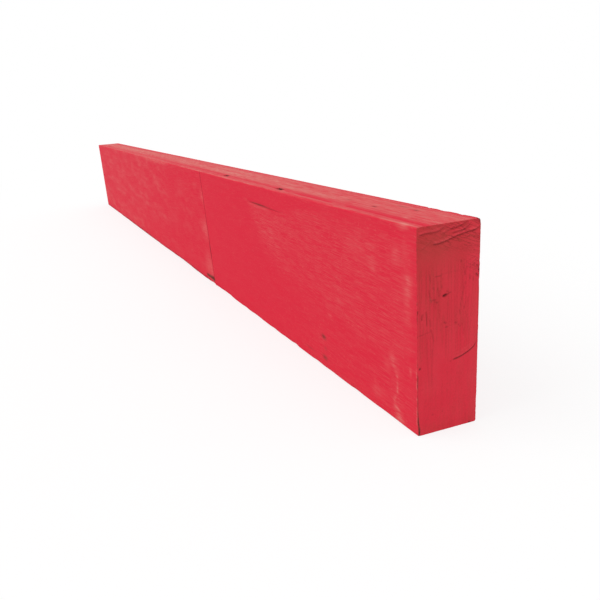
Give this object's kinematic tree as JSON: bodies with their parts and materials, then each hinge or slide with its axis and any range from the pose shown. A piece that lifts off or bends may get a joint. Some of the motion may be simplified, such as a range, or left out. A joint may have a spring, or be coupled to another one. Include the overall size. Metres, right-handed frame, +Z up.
{
  "type": "laminated veneer lumber beam",
  "caption": "Straight engineered-timber beam glued from parallel-grain veneers, painted all over, standing on its narrow edge; carries load across a span.",
  "frame": {"origin": "middle of the bottom edge of the beam, which is the narrow face it stands on", "axes": "+X along the beam to the near painted end, +Y across the glue lines away from the face with the butt joint, +Z up the depth"},
  "size_m": [1.5, 0.05, 0.15],
  "materials": {
    "painted_wood": "matt red paint over veneer, dusty and scuffed"
  },
  "bodies": {
    "root": {"beam": "painted_wood"}
  },
  "joints": []
}
